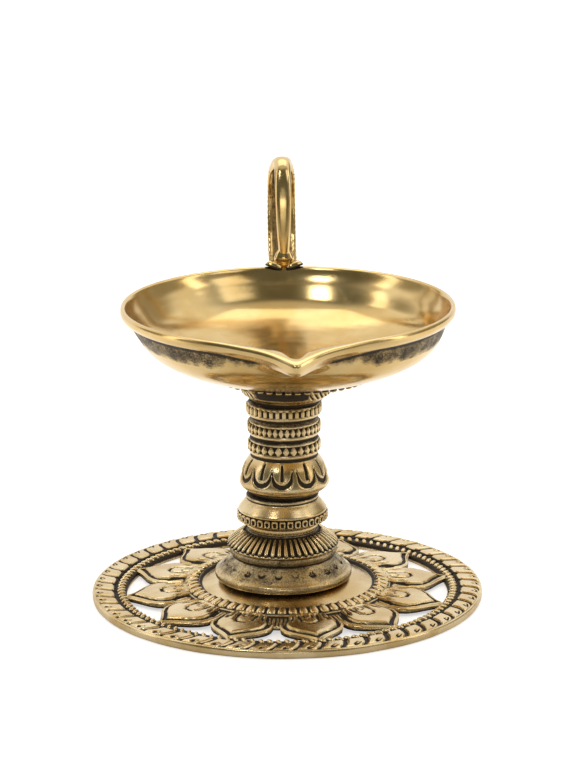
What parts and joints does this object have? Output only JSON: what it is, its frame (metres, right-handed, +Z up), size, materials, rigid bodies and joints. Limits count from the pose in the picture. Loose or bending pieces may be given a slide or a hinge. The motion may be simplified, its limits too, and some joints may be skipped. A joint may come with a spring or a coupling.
{
  "type": "diya oil lamp",
  "caption": "Footed brass oil lamp: open bowl with a pouring beak and finger loop on an ornamented stem, screwed to an openwork lotus plate.",
  "frame": {"origin": "centre of the lotus plate's flat underside, on the tie bolt's axis", "axes": "+Z up through the stem, the pouring beak towards -Y, the finger loop towards +Y"},
  "size_m": [0.127, 0.1368, 0.1332],
  "materials": {
    "polished_brass": "polished, slightly brown brass",
    "antique_brass": "antiqued brass: dark patina in the recesses, rubbed bright on the high points",
    "steel": "plain zinc-plated steel"
  },
  "bodies": {
    "stand": {"lotus_plate": "antique_brass", "stem_foot": "polished_brass", "skirt_stem": "antique_brass", "lotus_column": "antique_brass", "bowl_seat": "antique_brass", "bolt_washer": "steel"},
    "bolt": {"tie_bolt": "steel"},
    "bowl": {"oil_bowl": "polished_brass", "finger_loop": "polished_brass"}
  },
  "joints": [
    {"name": "bolt_turn", "type": "hinge", "parent": "stand", "child": "bolt", "pos_m": [0.0008, 0, 0.0022], "axis": [0, 0, -1], "range_deg": [0, 3240]},
    {"name": "bowl_lift", "type": "slide", "parent": "stand", "child": "bowl", "axis": [0, 0, 1], "range_m": [0, 0.009]}
  ],
  "couplings": [
    {"joint": "bolt_turn", "follows": "bowl_lift", "rad_per_m": 6283.2}
  ]
}
